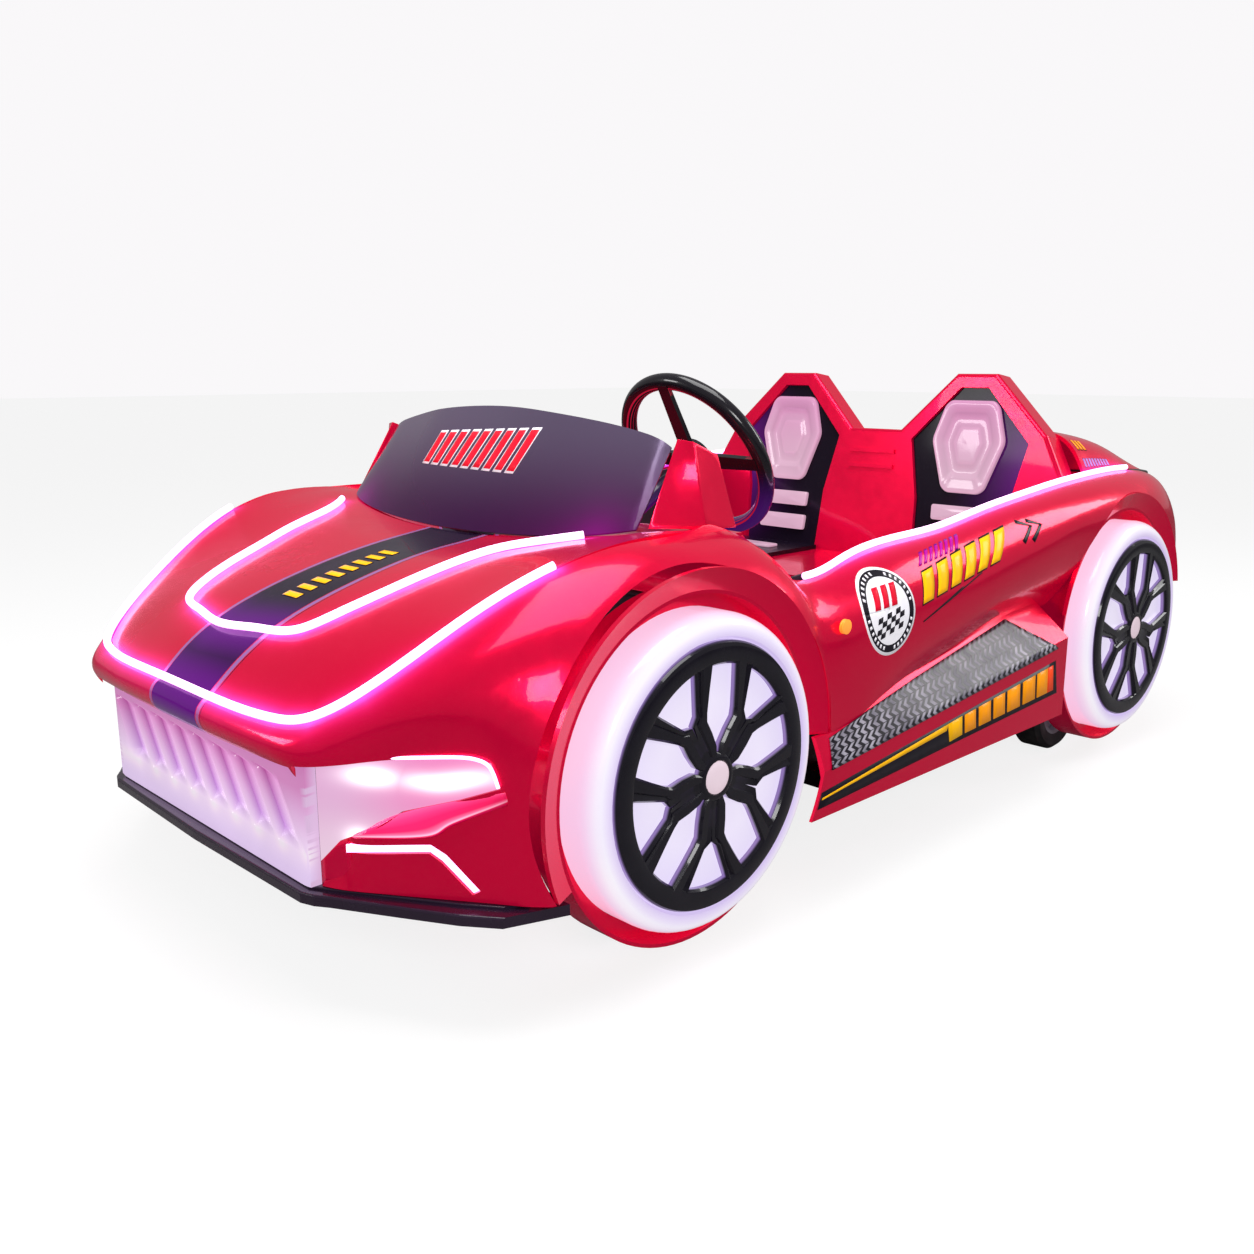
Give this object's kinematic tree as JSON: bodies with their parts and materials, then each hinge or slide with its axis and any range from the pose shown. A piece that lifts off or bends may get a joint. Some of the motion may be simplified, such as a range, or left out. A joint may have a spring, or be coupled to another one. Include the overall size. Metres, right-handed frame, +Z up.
{
  "type": "two-seat electric ride-on car",
  "caption": "Low open fairground battery car with twin bucket seats, lit outline strips, tinted screen and big lit dummy wheels over small running wheels.",
  "frame": {"origin": "bottom centre of the overall box, on the floor the running wheels stand on", "axes": "+Z up, nose towards -Y, +X is the car's left side, where the steering wheel is"},
  "size_m": [1.14, 2.1593, 0.7788],
  "materials": {
    "amber_lens": "small lens",
    "bare_steel": "zinc plated",
    "battery_case": "moulded case",
    "body_red": "glossy clear-coated glass-fibre",
    "cast_housing": "painted casting",
    "dark_glass": "dark tinted acrylic",
    "frame_steel": "black paint",
    "light_strip": "lit flexible tube",
    "lit_white": "milky translucent, lit from inside",
    "rim_black": "grained grip",
    "rim_grey": "moulded nylon",
    "spoke_black": "semi-gloss",
    "step_pattern": "woven carbon look",
    "trim_black": "satin",
    "tub_black": "grained moulding",
    "tyre": "solid rubber"
  },
  "bodies": {
    "root": {"battery_pack": "battery_case", "chassis_frame": "frame_steel", "cockpit_tub": "tub_black", "drive_motor": "cast_housing", "front_axle": "frame_steel", "front_body": "body_red", "front_splitter": "trim_black", "front_wheel_pods": "body_red", "grille": "lit_white", "headlights": "lit_white", "left_side_body": "body_red", "light_strips": "light_strip", "marker_lights": "amber_lens", "rear_axle": "frame_steel", "rear_body": "body_red", "rear_wheel_pods": "body_red", "right_side_body": "body_red", "screen_cowl": "body_red", "seat_inserts": "trim_black", "seat_pads": "lit_white", "seat_shell": "body_red", "spoke_covers": "spoke_black", "steering_box": "cast_housing", "step_plates": "step_pattern", "wheel_discs": "lit_white", "windscreen": "dark_glass"},
    "steering_wheel": {"steering_wheel": "rim_black"},
    "steering_post": {"steering_post": "bare_steel"},
    "knuckle_left": {"knuckle_left": "bare_steel"},
    "knuckle_right": {"knuckle_right": "bare_steel"},
    "tie_rod": {"tie_rod": "bare_steel"},
    "front_wheel_left": {"tyre_front_left": "tyre", "rim_front_left": "rim_grey"},
    "front_wheel_right": {"tyre_front_right": "tyre", "rim_front_right": "rim_grey"},
    "rear_wheel_left": {"tyre_rear_left": "tyre", "rim_rear_left": "rim_grey"},
    "rear_wheel_right": {"tyre_rear_right": "tyre", "rim_rear_right": "rim_grey"}
  },
  "joints": [
    {"name": "steering_wheel_turn", "type": "hinge", "parent": "root", "child": "steering_wheel", "pos_m": [0.23, -0.279, 0.648], "axis": [0, 0.866, 0.5], "range_deg": [-90, 90]},
    {"name": "steering_post_turn", "type": "hinge", "parent": "root", "child": "steering_post", "pos_m": [0.23, -0.6, 0.2], "axis": [0, 0, 1], "range_deg": [-28, 28]},
    {"name": "knuckle_left_turn", "type": "hinge", "parent": "root", "child": "knuckle_left", "pos_m": [0.32, -0.6, 0.09], "axis": [0, 0, 1], "range_deg": [-28, 28]},
    {"name": "knuckle_right_turn", "type": "hinge", "parent": "root", "child": "knuckle_right", "pos_m": [-0.32, -0.6, 0.09], "axis": [0, 0, 1], "range_deg": [-28, 28]},
    {"name": "tie_rod_turn", "type": "hinge", "parent": "knuckle_left", "child": "tie_rod", "pos_m": [0.32, -0.52, 0.104], "axis": [0, 0, 1], "range_deg": [-28, 28]},
    {"name": "front_wheel_left_roll", "type": "hinge", "parent": "knuckle_left", "child": "front_wheel_left", "pos_m": [0.395, -0.6, 0.09], "axis": [1, 0, 0], "continuous": true},
    {"name": "rear_wheel_left_roll", "type": "hinge", "parent": "root", "child": "rear_wheel_left", "pos_m": [0.42, 0.615, 0.09], "axis": [1, 0, 0], "continuous": true},
    {"name": "front_wheel_right_roll", "type": "hinge", "parent": "knuckle_right", "child": "front_wheel_right", "pos_m": [-0.395, -0.6, 0.09], "axis": [1, 0, 0], "continuous": true},
    {"name": "rear_wheel_right_roll", "type": "hinge", "parent": "root", "child": "rear_wheel_right", "pos_m": [-0.42, 0.615, 0.09], "axis": [1, 0, 0], "continuous": true}
  ],
  "couplings": [
    {"joint": "steering_post_turn", "follows": "steering_wheel_turn", "ratio": 0.3},
    {"joint": "knuckle_left_turn", "follows": "steering_wheel_turn", "ratio": 0.3},
    {"joint": "knuckle_right_turn", "follows": "steering_wheel_turn", "ratio": 0.3},
    {"joint": "tie_rod_turn", "follows": "steering_wheel_turn", "ratio": -0.3}
  ]
}
